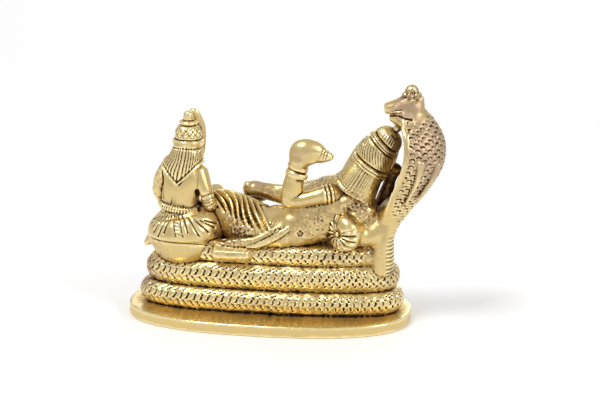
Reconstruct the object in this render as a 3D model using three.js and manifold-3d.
// Small cast brass group: a god reclining on a coiled serpent under its raised hood, a goddess
// seated at the feet, all in one casting with the oval plinth. Millimetres, z up, the figures
// face -y, the serpent's hood stands at the -x end and the seated figure at the +x end.
import * as THREE from 'three';
import { mergeVertices } from 'three/addons/utils/BufferGeometryUtils.js';
import Module from 'manifold-3d';

const wasm = await Module();
wasm.setup();

const plinth = { halfLength: 40, halfDepth: 20.5, power: 2.5, height: 3.15, bevel: 0.5 };

// three turns of the serpent's body, lowest first: the oval its middle line follows and the
// half sizes of the body itself
const coils = [
  { x: -0.45, z: 6.25, halfLength: 34.3, halfDepth: 8.3, out: 3.3, up: 3.35 },
  { x: -0.85, z: 13.1, halfLength: 32.3, halfDepth: 6.9, out: 3.65, up: 3.9 },
  { x: -1.6, z: 19.4, halfLength: 28.6, halfDepth: 6.5, out: 3.2, up: 3.1 },
];
const coilPower = 2.6;
const ovalSegments = 40;
const finest = 0.3;

// The serpent from neck to the top of the hood, in slices. back: middle of the outer face.
// rim: the hood's edge line. half: half width across. cup: -1 a round neck, 1 a thin shell.
const hoodSlices = [
  { back: [-34.4, 15.5], rim: [-31.0, 16], half: 4.8, cup: -1 },
  { back: [-34.8, 21], rim: [-31.3, 21.5], half: 5.0, cup: -1 },
  { back: [-35.6, 25], rim: [-31.8, 26], half: 5.0, cup: -0.95 },
  { back: [-37.0, 28.6], rim: [-32.6, 30.2], half: 5.5, cup: -0.6 },
  { back: [-39.9, 32.4], rim: [-33.6, 34.8], half: 7.1, cup: -0.1 },
  { back: [-43.4, 36.8], rim: [-35.2, 39.4], half: 8.6, cup: 0.4 },
  { back: [-46.5, 41.4], rim: [-36.8, 43.7], half: 9.5, cup: 0.62 },
  { back: [-48.5, 46.2], rim: [-37.8, 47.8], half: 9.8, cup: 0.7 },
  { back: [-48.9, 50.4], rim: [-38.1, 51.4], half: 9.3, cup: 0.68 },
  { back: [-47.8, 54.2], rim: [-37.7, 54.4], half: 8.0, cup: 0.6 },
  { back: [-45.9, 57.4], rim: [-37.0, 56.6], half: 6.4, cup: 0.35 },
  { back: [-43.6, 60.2], rim: [-36.8, 58.6], half: 5.0, cup: -0.2 },
  { back: [-41.2, 62.6], rim: [-36.8, 60.6], half: 3.6, cup: -0.7 },
];

const vec = (x, y, z) => new THREE.Vector3(x, y, z);
const mix = THREE.MathUtils.lerp;

// Catmull-Rom value of column k of the rows at t, t counted in rows
function along(rows, t, k) {
  const i = Math.min(Math.floor(t), rows.length - 2);
  const f = t - i;
  const at = (j) => rows[Math.max(0, Math.min(rows.length - 1, j))][k];
  const [a, b, c, d] = [at(i - 1), at(i), at(i + 1), at(i + 2)];
  return b + 0.5 * f * (c - a + f * (2 * a - 5 * b + 4 * c - d + f * (3 * (b - c) + d - a)));
}

// closed body from rings of points, a point closing each end
function skin(rings) {
  const count = rings[0].length;
  const points = [];
  const faces = [];
  for (const ring of rings) for (const p of ring) points.push(p.x, p.y, p.z);
  for (let r = 0; r < rings.length - 1; r++) {
    for (let i = 0; i < count; i++) {
      const [a, b] = [r * count + i, r * count + ((i + 1) % count)];
      faces.push(a, b, b + count, a, b + count, a + count);
    }
  }
  for (const end of [0, rings.length - 1]) {
    const middle = vec(0, 0, 0);
    for (const p of rings[end]) middle.addScaledVector(p, 1 / count);
    const pole = points.length / 3;
    points.push(middle.x, middle.y, middle.z);
    for (let i = 0; i < count; i++) {
      const [a, b] = [end * count + i, end * count + ((i + 1) % count)];
      faces.push(...(end === 0 ? [pole, b, a] : [pole, a, b]));
    }
  }
  return geometryFrom(points, faces);
}

function geometryFrom(points, faces) {
  const geometry = new THREE.BufferGeometry();
  geometry.setAttribute('position', new THREE.Float32BufferAttribute(points, 3));
  geometry.setIndex(faces);
  return geometry;
}

// Limb or trunk: each station is [x, y, z, half size toward `side`, half size across it], joined
// by a smooth curve in `rows` steps, or straight from station to station where rows is 0.
// relief(turn, t, row) scales the section, `square` above 2 squares it off, lean(turn) slides
// the ring along the form, and each end is rounded by `round` of its own half size.
function loft(stations, options = {}) {
  const { side = vec(0, 1, 0), sides = 7, rows = 4, round = 0.8, square = 2 } = options;
  const { relief = () => 1, lean = () => 0 } = options;
  const last = stations.length - 1;
  const inside = (t) => Math.max(0.001, Math.min(last - 0.001, t));
  const point = (t) => vec(along(stations, t, 0), along(stations, t, 1), along(stations, t, 2));
  const ring = (start, shrink, push, row) => Array.from({ length: sides }, (_, i) => {
    const turn = (i / sides) * 2 * Math.PI;
    const t = inside(start + lean(turn));
    const tangent = point(inside(t + 0.001)).sub(point(inside(t - 0.001))).normalize();
    const first = side.clone().addScaledVector(tangent, -side.dot(tangent)).normalize();
    const second = tangent.clone().cross(first);
    const scale = shrink * relief(turn, t / last, row);
    const [a, b] = [along(stations, t, 3), along(stations, t, 4)];
    const [across, up] = oval(turn, a * scale, b * scale, square);
    return point(t).addScaledVector(tangent, push * Math.min(a, b))
      .addScaledVector(first, across).addScaledVector(second, up);
  });
  const bend = THREE.MathUtils.degToRad(58);
  const steps = rows || last;
  const rings = [];
  if (round) rings.push(ring(0, Math.cos(bend), -Math.sin(bend) * round, 0));
  for (let r = 0; r <= steps; r++) rings.push(ring((r / steps) * last, 1, 0, r));
  if (round) rings.push(ring(last, Math.cos(bend), Math.sin(bend) * round, steps));
  return skin(rings);
}

// egg shape, turned by Euler angles in degrees
function egg(centre, half, turn = [0, 0, 0], across = 7, up = 5) {
  const geometry = new THREE.SphereGeometry(1, across, up);
  geometry.rotateX(Math.PI / 2);
  geometry.scale(...half);
  const [rx, ry, rz] = turn.map(THREE.MathUtils.degToRad);
  geometry.rotateX(rx).rotateY(ry).rotateZ(rz);
  return geometry.translate(...centre);
}

const power = (value, n) => Math.sign(value) * Math.abs(value) ** (2 / n);

// outline of the plinth and of the coils, a circle squared off a little
function oval(turn, halfLength, halfDepth, n) {
  return [halfLength * power(Math.cos(turn), n), halfDepth * power(Math.sin(turn), n)];
}

// Plinth and coils are one stack of ovals: up the plinth's side, in across its top, then over
// each turn of the body from the groove below it to the groove above
function plinthAndCoils() {
  const { halfLength, halfDepth, height, bevel } = plinth;
  const stack = [
    [0, halfLength, halfDepth, 0, plinth.power],
    [0, halfLength, halfDepth, height - bevel, plinth.power],
    [0, halfLength - bevel, halfDepth - bevel, height, plinth.power],
  ];
  for (const coil of coils) {
    for (const angle of [-70, -38, -12, 14, 42, 68]) {
      const around = THREE.MathUtils.degToRad(angle);
      const out = coil.out * Math.cos(around);
      const z = coil.z + coil.up * Math.sin(around);
      stack.push([coil.x, coil.halfLength + out, coil.halfDepth + out, z, coilPower]);
    }
  }
  return skin(stack.map(([x, a, b, z, n]) => Array.from({ length: ovalSegments }, (_, i) => {
    const [px, py] = oval((i / ovalSegments) * 2 * Math.PI, a, b, n);
    return vec(x + px, py, z);
  })));
}

// neck and hood: an outer half oval from rim to rim, then back along the inside
function hood() {
  const rows = hoodSlices.map((s) => [...s.back, ...s.rim, s.half, s.cup]);
  const steps = 6;
  const rings = [];
  for (let r = 0; r <= 13; r++) {
    const t = (r / 13) * (rows.length - 1);
    const [bx, bz, nx, nz, half, cup] = [0, 1, 2, 3, 4, 5].map((k) => along(rows, t, k));
    const at = (angle, depth, width) => vec(
      mix(nx, bx, depth * Math.cos(angle)), width * Math.sin(angle), mix(nz, bz, depth * Math.cos(angle)));
    const ring = [];
    for (let i = 0; i <= steps; i++) ring.push(at(Math.PI * (i / steps - 0.5), 1, half));
    for (let i = 1; i < steps; i++) {
      ring.push(at(Math.PI * (0.5 - i / steps), cup, half * (cup > 0 ? 1 - 0.16 * cup : 1)));
    }
    rings.push(ring);
  }
  return skin(rings);
}

// groove pattern: n rounded ridges round the section, depth as a share of the radius
const ridges = (n, depth, phase = 0) => (turn) => 1 - depth * Math.abs(Math.cos((turn * n) / 2 + phase));

// Crowned head standing on its neck, in its own frame: w up the head, v toward its back.
// hem(u): how low the hair hangs. Rows of locks, crown and plate are [w, u, v, half across,
// half deep]; the crown's rows step out for its bands.
function crownedHead({ place, locks, strands, hem, crown, knob, plate, face }) {
  const forms = [];
  const rows = 4;
  const hair = [];
  const stations = (list) => list.map(([w, u, v, wide, deep]) => [u, v, w, wide, deep]);
  const side = vec(1, 0, 0);
  for (let r = 0; r <= rows; r++) {
    const t = (r / rows) * (locks.length - 1);
    const [, u, v, wide, deep] = [0, 1, 2, 3, 4].map((k) => along(locks, t, k));
    hair.push(Array.from({ length: strands * 2 }, (_, i) => {
      const turn = (i / strands) * Math.PI;
      const cut = i % 2 && Math.sin(turn) > -0.2 ? 0.93 : 1;
      const [across, back] = oval(turn, wide * cut, deep * cut, 2.4);
      return vec(u + across, v + back, mix(locks[0][0], hem(u + across), r / rows));
    }));
  }
  forms.push(skin(hair));
  forms.push(loft(stations(crown), { side, sides: 11, rows: 0, round: 0.3 }));
  forms.push(egg([knob[1], knob[2], knob[0]], [knob[3], knob[3], knob[4]]));
  forms.push(loft(stations(plate), { side, rows: 0, round: 0.5 }));
  const { u, v, w, wide, deep, high } = face;
  forms.push(egg([u, v, w], [wide, deep, high], [0, 0, 0], 10, 7));
  // nose, lips and the two eyes, as shares of the face's own half sizes
  const features = [[0, 0.93, -0.08, 0.16, 0.28, 0.24], [0, 0.8, -0.5, 0.3, 0.22, 0.12]];
  for (const s of [-1, 1]) features.push([s * 0.4, 0.78, 0.08, 0.24, 0.18, 0.1]);
  for (const [a, b, c, ...half] of features) {
    forms.push(egg([u + wide * a, v - deep * b, w + high * c],
      [wide * half[0], deep * half[1], high * half[2]], [0, 0, 0], 6, 4));
  }
  return forms.map((form) => form.applyMatrix4(place));
}

// Matrix for a head: its foot, the way its axis points and the way its back looks
function headFrame(foot, axis, back) {
  const w = vec(...axis).normalize();
  const v = vec(...back).addScaledVector(w, -vec(...back).dot(w)).normalize();
  return new THREE.Matrix4().makeBasis(v.clone().cross(w), v, w).setPosition(...foot);
}

function serpentHead() {
  const forms = [
    egg([-36.2, 0, 61.0], [5.0, 3.7, 2.7], [0, 14, 0], 10, 7),
    egg([-36.3, 0, 58.7], [3.3, 2.9, 1.8], [0, 20, 0], 8, 5),
    egg([-38.6, 0, 56.6], [3.0, 3.2, 2.8], [0, 0, 0], 8, 5),
    egg([-38.9, 0, 63.2], [3.0, 2.9, 2.0], [0, 0, 0], 8, 5),
    egg([-38.9, 0, 65.7], [1.75, 1.75, 1.8], [0, 0, 0], 8, 6),
  ];
  for (let i = 0; i < 4; i++) {
    const turn = (i / 4 + 0.1) * 2 * Math.PI;
    const centre = [-38.9 + 1.9 * Math.cos(turn), 1.9 * Math.sin(turn), 64.1];
    forms.push(egg(centre, [1.2, 1.2, 1.1], [0, 0, 0], 6, 4));
  }
  for (const side of [-1, 1]) forms.push(egg([-34.8, side * 2.9, 61.9], [0.9, 0.7, 0.7], [0, 0, 0], 6, 4));
  return forms;
}

// round cushion end, its cloth gathered in pleats to the hub
function bolster() {
  const pleats = 12;
  const sides = pleats * 2;
  const profile = [[0.3, 0.9], [0.6, 3.1], [0.1, 4.6], [-1.2, 5.3], [-5, 5.8], [-10, 5.7], [-14, 4.6]];
  const rings = profile.map(([out, radius], row) => Array.from({ length: sides }, (_, i) => {
    const turn = (i / sides) * 2 * Math.PI;
    const low = row > 0 && row < 4 && i % 2 ? 0.4 : 0;
    const pleated = radius * (1 - low * 0.12);
    return vec(pleated * Math.cos(turn), pleated * Math.sin(turn), out - low);
  }));
  const place = headFrame([-20.6, 8.9, 26.9], [0.57, 0.82, 0.02], [0, 0, 1]);
  return [skin(rings).applyMatrix4(place), egg([-20.4, 9.2, 26.9], [0.8, 0.8, 0.8], [0, 0, 0], 6, 4)];
}

// The reclining god: cloth over the legs cut in slanting pleats, bare trunk, three arms that show
function recliner() {
  const fromTop = (turn) => Math.abs(((turn + 1.5 * Math.PI) % (2 * Math.PI)) - Math.PI);
  const pleats = (turn, t, row) => (row % 2 && t > 0.02 && fromTop(turn) < 1.6 ? 0.87 : 1);
  const legs = loft([
    [17.0, -1.6, 30.6, 3.0, 4.4], [13.0, -1.0, 29.6, 4.4, 5.8], [8.5, -0.2, 27.8, 6.2, 6.7],
    [3.5, 0.8, 26.6, 7.6, 6.7], [-1.5, 1.2, 25.9, 8.2, 6.3], [-6.5, 1.3, 25.7, 8.1, 5.8],
  ], { sides: 13, rows: 24, round: 0.5, relief: pleats, lean: (turn) => 0.5 * fromTop(turn) - 0.4 });
  const trunk = loft([
    [-3.5, 1.3, 25.4, 8.0, 5.6], [-8.5, 1.1, 27.0, 7.8, 6.6], [-13.0, 0.7, 29.4, 7.5, 7.3],
    [-17.0, 0.4, 31.4, 7.2, 7.2], [-20.4, 0.2, 33.0, 6.6, 6.0], [-23.0, 0, 34.6, 4.8, 4.4],
  ], { sides: 12, round: 0.5, square: 2.5 });
  const back = loft([
    [-14.0, 0.4, 27.0, 7.0, 5.0], [-20.0, 0.2, 29.4, 6.8, 5.4],
    [-26.0, 0.2, 28.6, 6.0, 5.2], [-32.0, 0, 27.0, 4.2, 4.6],
  ], { sides: 10, rows: 2, round: 0.3, square: 2.4 });
  const limbs = [
    [[-19.6, 3.2, 36.6, 2.4, 2.6], [-16.8, 5.4, 37.0, 2.7, 2.7], [-12.5, 6.6, 36.1, 2.2, 2.15],
      [-8.0, 6.8, 35.3, 2.5, 2.2], [-6.6, 6.8, 36.4, 2.4, 2.6]],
    [[-6.8, 6.9, 34.9, 2.3, 2.4], [-7.4, 6.8, 38.0, 2.4, 2.9], [-8.0, 6.6, 41.0, 2.3, 2.7],
      [-9.0, 6.3, 45.2, 2.1, 2.5]],
    [[-9.2, 6.2, 46.0, 2.2, 2.9], [-10.4, 5.8, 48.4, 3.0, 3.9], [-12.9, 5.2, 48.8, 2.8, 3.4],
      [-15.6, 4.7, 47.9, 2.1, 2.3], [-17.7, 4.3, 47.4, 1.3, 1.1]],
    [[-17.5, -5.4, 36.6, 2.7, 2.9], [-12.0, -6.2, 35.2, 2.3, 2.7], [-6.0, -6.6, 33.8, 2.1, 2.6],
      [0.5, -6.5, 33.8, 1.9, 2.2], [4.0, -6.2, 34.4, 2.2, 2.3], [7.0, -6.0, 35.0, 1.7, 2.0]],
    [[-25.5, -5.2, 30.0, 2.4, 2.6], [-30.2, -5.4, 30.5, 2.3, 2.5], [-32.0, -5.2, 35.0, 2.0, 2.0],
      [-33.2, -5.0, 39.2, 1.8, 1.6], [-34.4, -4.6, 42.6, 2.0, 2.1]],
  ].map((stations) => loft(stations));
  // raised rings round the wrist and the upper arm, each [x, y, z, half sizes, way it faces]
  const rings = [
    [-8.9, 6.5, 42.9, 2.7, 3.3, [-0.1, 0, 0.5]], [-9.1, 6.4, 44.6, 2.6, 3.2, [-0.1, 0, 0.5]],
    [-18.0, 5.3, 37.2, 3.0, 3.0, [0.4, 0.1, -0.05]], [-16.2, 5.8, 37.0, 2.9, 2.9, [0.4, 0.1, -0.05]],
  ].map(([x, y, z, a, b, [dx, dy, dz]]) => loft(
    [[x - dx, y - dy, z - dz, a, b], [x + dx, y + dy, z + dz, a, b]], { sides: 8, rows: 0, round: 0 }));
  const neck = loft([[-20.5, -0.5, 34.5, 3.6, 3.6], [-24.0, -0.5, 39.0, 3.2, 3.2]], { rows: 2 });
  const feet = [-3.6, 1.2].map((y) => egg([17.6, y, 31.4], [2.0, 1.9, 3.2], [0, -14, 0]));
  const sash = loft([
    [14.6, 7.4, 23.2, 2.0, 1.2], [8.5, 8.4, 23.3, 2.2, 1.2], [2.2, 8.9, 23.9, 2.2, 1.1],
    [-2.6, 8.7, 25.8, 1.9, 1.0], [-7.0, 7.4, 28.4, 1.4, 0.8]], { rows: 0, sides: 6 });
  const block = skin([[14.2, 0.4], [12.8, 0], [6.4, 0], [3.6, 0], [2.4, 1.5]].map(([x, inset]) => [
    [5, 18.2], [10.7 - inset, 18.4], [11.5 - inset, 19.5], [11.2 - inset, 20.9], [8.4 - inset, 22.7],
    [5, 22.9],
  ].map(([y, z]) => vec(x, y, z))));
  return [legs, trunk, back, ...limbs, ...rings, neck, ...feet, sash, block];
}

function reclinerHead() {
  return crownedHead({
    place: headFrame([-23.8, -0.4, 37.05], [-0.55, 0, 0.835], [0.1, 1, 0.05]),
    locks: [[8.6, 0.4, 0.6, 5.1, 4.9], [5.8, 0.3, 0.9, 5.4, 5.4], [3.0, 0.1, 1.1, 5.9, 6.0],
      [0, 0, 1.1, 6.6, 6.4]],
    strands: 13,
    hem: (u) => 0.03 * u * u - 0.07 * u,
    crown: [[7.6, 0.3, 0.5, 5.5, 5.3], [9.2, 0.4, 0.5, 5.5, 5.3], [9.3, 0.3, 0.2, 5.0, 4.8],
      [12.3, 0, 0.2, 4.7, 4.5], [15.1, -0.5, 0.2, 4.1, 4.0], [15.2, -0.5, 0.4, 4.5, 4.4],
      [16.4, -0.6, 0.4, 4.5, 4.4], [16.5, -0.3, 0.2, 4.0, 3.9], [18.2, 0, 0.2, 3.9, 3.7],
      [20.1, 0.4, 0.2, 2.7, 2.7]],
    knob: [21.3, 0.2, 0.4, 1.1, 1.1],
    plate: [[2.0, 0.9, -2.2, 5.6, 1.8], [5.0, 0.9, -2.4, 5.9, 1.8], [9.0, 0.9, -2.8, 6.1, 1.6],
      [13.2, 0.9, -2.9, 5.4, 1.5], [17.0, 1.0, -2.9, 4.0, 1.4], [19.4, 0.8, -2.8, 2.0, 1.2]],
    face: { u: 0.4, v: -3.1, w: 4.6, wide: 4.2, deep: 3.6, high: 5.0 },
  });
}

function goddess() {
  const skirt = (turn, t) => {
    const inPleats = t > 0.52 && t < 0.93 ? 1 : 0;
    return 1 - 0.04 * inPleats * Math.abs(Math.cos(turn * 7));
  };
  const hips = loft([
    [22.8, 2.2, 15.6, 5.0, 4.6], [23.0, 2.2, 17.6, 8.3, 7.6], [23.2, 1.8, 20.6, 10.0, 8.9],
    [23.5, 1.4, 23.4, 10.7, 9.4], [23.9, 1.2, 26.0, 10.3, 8.9], [24.4, 1.0, 28.6, 8.8, 7.2],
    [24.9, 1.2, 30.6, 6.3, 5.4],
  ], { side: vec(1, 0, 0), sides: 26, rows: 7, relief: skirt, round: 0 });
  const trunk = loft([
    [25.1, 1.6, 29.5, 5.4, 4.6], [24.9, 1.7, 33.0, 5.3, 4.5], [24.2, 1.6, 37.0, 5.7, 4.5],
    [23.8, 1.2, 40.0, 6.1, 4.2], [23.6, 0.8, 42.4, 5.0, 3.4],
  ], { side: vec(1, 0, 0), sides: 12, rows: 4, round: 0.4 });
  const beads = 16;
  const belt = loft([[25.3, 1.5, 30.1, 5.7, 5.0], [25.15, 1.5, 30.85, 6.1, 5.4], [25.0, 1.5, 31.6, 5.7, 5.0]],
    { side: vec(1, 0, 0), sides: beads * 2, rows: 2, round: 0, relief: ridges(beads, 0.06) });
  const limbs = [
    [[29.2, 1.0, 40.8, 2.3, 2.2], [30.8, 0.4, 37.5, 2.0, 2.1], [31.0, -0.6, 33.6, 1.9, 2.0],
      [29.2, -4.6, 31.0, 1.8, 1.8], [26.0, -8.2, 30.0, 1.6, 1.7]],
    [[19.8, 1.0, 40.6, 2.9, 2.7], [18.7, 1.8, 38.0, 2.7, 2.5], [17.4, 2.8, 34.4, 2.2, 2.1],
      [16.5, 2.8, 32.0, 2.2, 2.1], [16.0, -0.8, 32.3, 1.8, 1.8], [15.9, -5.0, 34.2, 1.9, 1.9]],
    [[28.0, 0.5, 21.0, 4.6, 4.2], [31.6, -5.2, 20.6, 3.5, 3.3], [31.0, -8.6, 20.0, 3.0, 2.6],
      [25.0, -11.2, 19.6, 2.3, 2.2], [19.5, -11.4, 19.2, 1.9, 1.7]],
    [[20.0, 0.5, 21.5, 4.6, 4.2], [16.4, -5.2, 22.2, 3.5, 3.3], [16.6, -8.4, 22.2, 3.0, 2.6],
      [22.0, -10.0, 22.0, 2.4, 2.2], [27.4, -10.4, 21.4, 1.9, 1.7]],
  ].map((stations) => loft(stations));
  const cloth = loft([
    [31.0, -3.5, 21.5, 1.6, 2.4], [34.2, -3.5, 19.6, 1.4, 2.0], [36.4, -3.5, 17.9, 1.1, 0.7],
  ], { sides: 6, rows: 0 });
  const breast = [21.5, 26.3].map((x) => egg([x, -2.4, 37.4], [2.2, 1.9, 2.1]));
  const neck = loft([[23.3, 0.2, 41.5, 2.6, 2.6], [22.7, 0.0, 45.0, 2.3, 2.3]], { rows: 2 });
  return [hips, trunk, belt, ...limbs, cloth, ...breast, neck];
}

function goddessHead() {
  return crownedHead({
    place: headFrame([22.9, 0.6, 43.6], [-0.03, 0, 1], [0, 1, 0]),
    locks: [[5.0, 0, 0.2, 4.0, 4.2], [2.4, 0.1, 0.6, 4.7, 4.5], [-1.5, 0.6, 0.9, 6.2, 4.6],
      [-4.5, 0.9, 0.9, 6.5, 4.8]],
    strands: 12,
    hem: (u) => -6.2 + 0.95 * Math.abs(u - 1.7),
    crown: [[4.7, 0, 0, 4.3, 4.3], [6.6, 0, 0, 4.3, 4.3], [6.7, 0, -0.4, 3.9, 4.0], [8.8, 0, -0.5, 3.5, 3.6],
      [10.7, 0, -0.5, 2.2, 2.3], [10.8, 0, -0.4, 2.6, 2.6], [12.1, 0, -0.4, 2.5, 2.5]],
    knob: [13.7, 0, 0.4, 1.5, 1.6],
    plate: [[1.0, -0.2, -3.0, 3.6, 1.2], [5.0, -0.1, -3.4, 4.3, 1.2], [9.0, -0.1, -3.4, 4.1, 1.1],
      [12.4, -0.2, -3.2, 2.7, 1.0], [14.0, -0.3, -3.0, 1.4, 0.9]],
    face: { u: 0, v: -2.2, w: 1.4, wide: 3.4, deep: 2.7, high: 3.9 },
  });
}

// Joins forms that run into one another as they do in the metal, leaving out facets finer than
// `finest`
function cast(forms) {
  let whole = null;
  for (const form of forms) {
    const bare = form.clone();
    for (const extra of ['normal', 'uv']) bare.deleteAttribute(extra);
    const { attributes: { position }, index } = mergeVertices(bare, 1e-4);
    const faces = [];
    for (let i = 0; i < index.count; i += 3) {
      const [a, b, c] = [index.getX(i), index.getX(i + 1), index.getX(i + 2)];
      if (a !== b && b !== c && a !== c) faces.push(a, b, c);
    }
    let volume = 0;
    const corner = (k) => vec().fromBufferAttribute(position, k);
    for (let i = 0; i < faces.length; i += 3) {
      volume += corner(faces[i]).dot(corner(faces[i + 1]).cross(corner(faces[i + 2])));
    }
    if (volume < 0) faces.reverse();
    const solid = new wasm.Manifold(new wasm.Mesh({
      numProp: 3, vertProperties: new Float32Array(position.array), triVerts: new Uint32Array(faces) }));
    whole = whole ? whole.add(solid) : solid;
  }
  const { vertProperties, triVerts, numProp } = whole.simplify(finest).getMesh();
  const points = [];
  for (let i = 0; i < vertProperties.length; i += numProp) points.push(...vertProperties.slice(i, i + 3));
  return mergeVertices(geometryFrom(points, Array.from(triVerts)), 1e-5);
}

const geometry = cast([
  plinthAndCoils(), hood(), ...serpentHead(), ...bolster(),
  ...recliner(), ...reclinerHead(), ...goddess(), ...goddessHead(),
]);
geometry.computeVertexNormals();

const brass = new THREE.MeshStandardMaterial({ color: 0xc8a24a, roughness: 0.35, metalness: 1 });
const statue = new THREE.Mesh(geometry, brass);
statue.name = 'statue_casting';

const group = new THREE.Group();
group.name = 'brass_reclining_god_group';
group.add(statue);
export default group;
